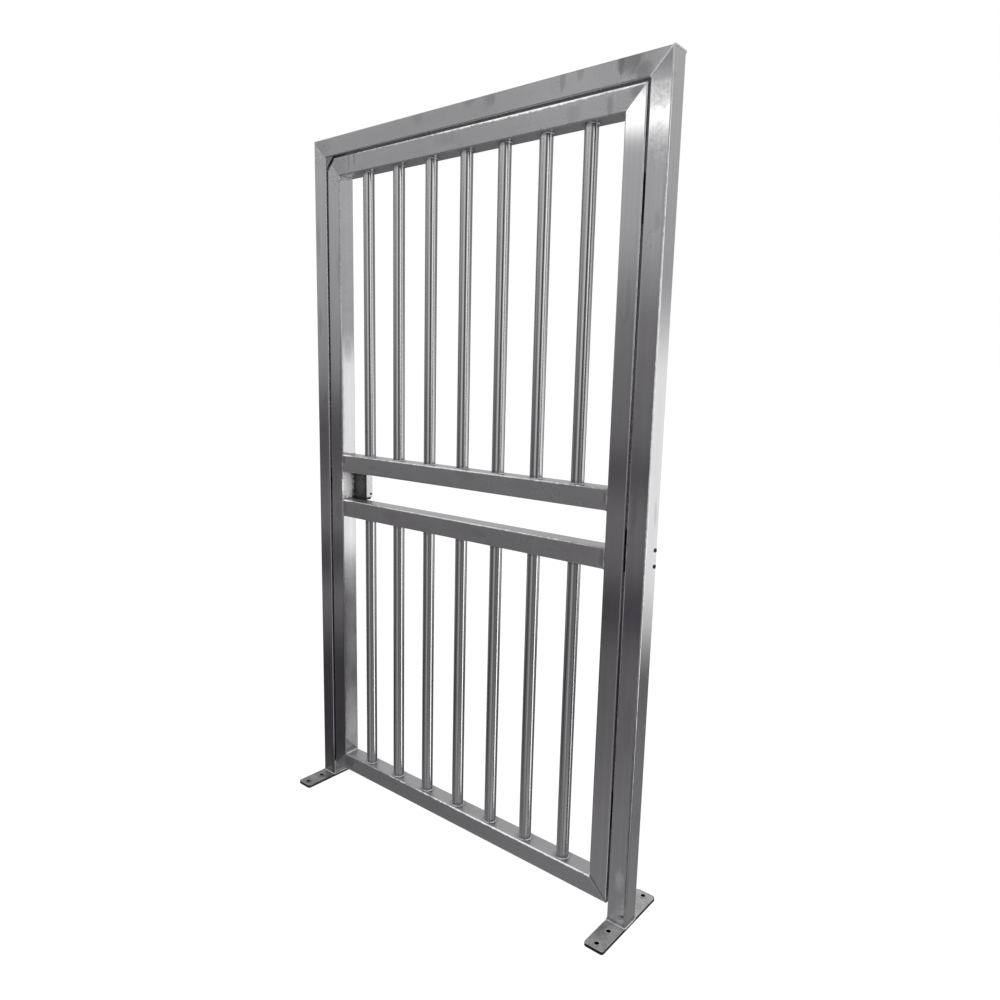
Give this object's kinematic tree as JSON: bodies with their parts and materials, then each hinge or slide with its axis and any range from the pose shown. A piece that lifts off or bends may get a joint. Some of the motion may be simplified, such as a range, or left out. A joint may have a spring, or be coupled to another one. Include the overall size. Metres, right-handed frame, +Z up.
{
  "type": "turnstile side gate",
  "caption": "Full-height side gate of brushed stainless steel tube: a two-post frame on drilled base plates, and a barred swinging leaf with a lock gap.",
  "frame": {"origin": "centre of the underside of the hinge post's base plate", "axes": "+X along the closed gate from the lock post to the hinge post, -Y towards the front, +Z up"},
  "size_m": [1.352, 0.3, 2.32],
  "materials": {
    "tube_steel": "brushed along the tube",
    "bar_steel": "brushed along the bar",
    "corner_steel": "ground",
    "plate_steel": "mill finish, dull",
    "hinge_steel": "satin",
    "pin_steel": "turned",
    "lock_steel": "satin",
    "lock_cylinder": "polished"
  },
  "bodies": {
    "frame": {"lock_post": "tube_steel", "hinge_post": "tube_steel", "frame_top_rail": "tube_steel", "corner_gusset": "corner_steel", "lock_post_base_plate": "plate_steel", "hinge_post_base_plate": "plate_steel", "lock_keeper": "lock_steel", "hinge_frame_half_lower": "hinge_steel", "hinge_frame_half_middle": "hinge_steel", "hinge_frame_half_upper": "hinge_steel", "hinge_pin_lower": "pin_steel", "hinge_pin_middle": "pin_steel", "hinge_pin_upper": "pin_steel"},
    "leaf": {"leaf_lock_stile": "tube_steel", "leaf_hinge_stile": "tube_steel", "leaf_top_rail": "tube_steel", "leaf_bottom_rail": "tube_steel", "leaf_corner_patch": "corner_steel", "mid_rail_lower": "tube_steel", "mid_rail_upper": "tube_steel", "lock_case": "lock_steel", "lock_cylinder": "lock_cylinder", "bar_lower_1": "bar_steel", "bar_lower_2": "bar_steel", "bar_lower_3": "bar_steel", "bar_lower_4": "bar_steel", "bar_lower_5": "bar_steel", "bar_lower_6": "bar_steel", "bar_lower_7": "bar_steel", "bar_upper_1": "bar_steel", "bar_upper_2": "bar_steel", "bar_upper_3": "bar_steel", "bar_upper_4": "bar_steel", "bar_upper_5": "bar_steel", "bar_upper_6": "bar_steel", "bar_upper_7": "bar_steel", "hinge_leaf_half_lower": "hinge_steel", "hinge_leaf_half_middle": "hinge_steel", "hinge_leaf_half_upper": "hinge_steel"}
  },
  "joints": [
    {"name": "leaf_swing", "type": "hinge", "parent": "frame", "child": "leaf", "pos_m": [-0.033, 0.043, 1.155], "axis": [0, 0, -1], "range_deg": [0, 110]}
  ]
}
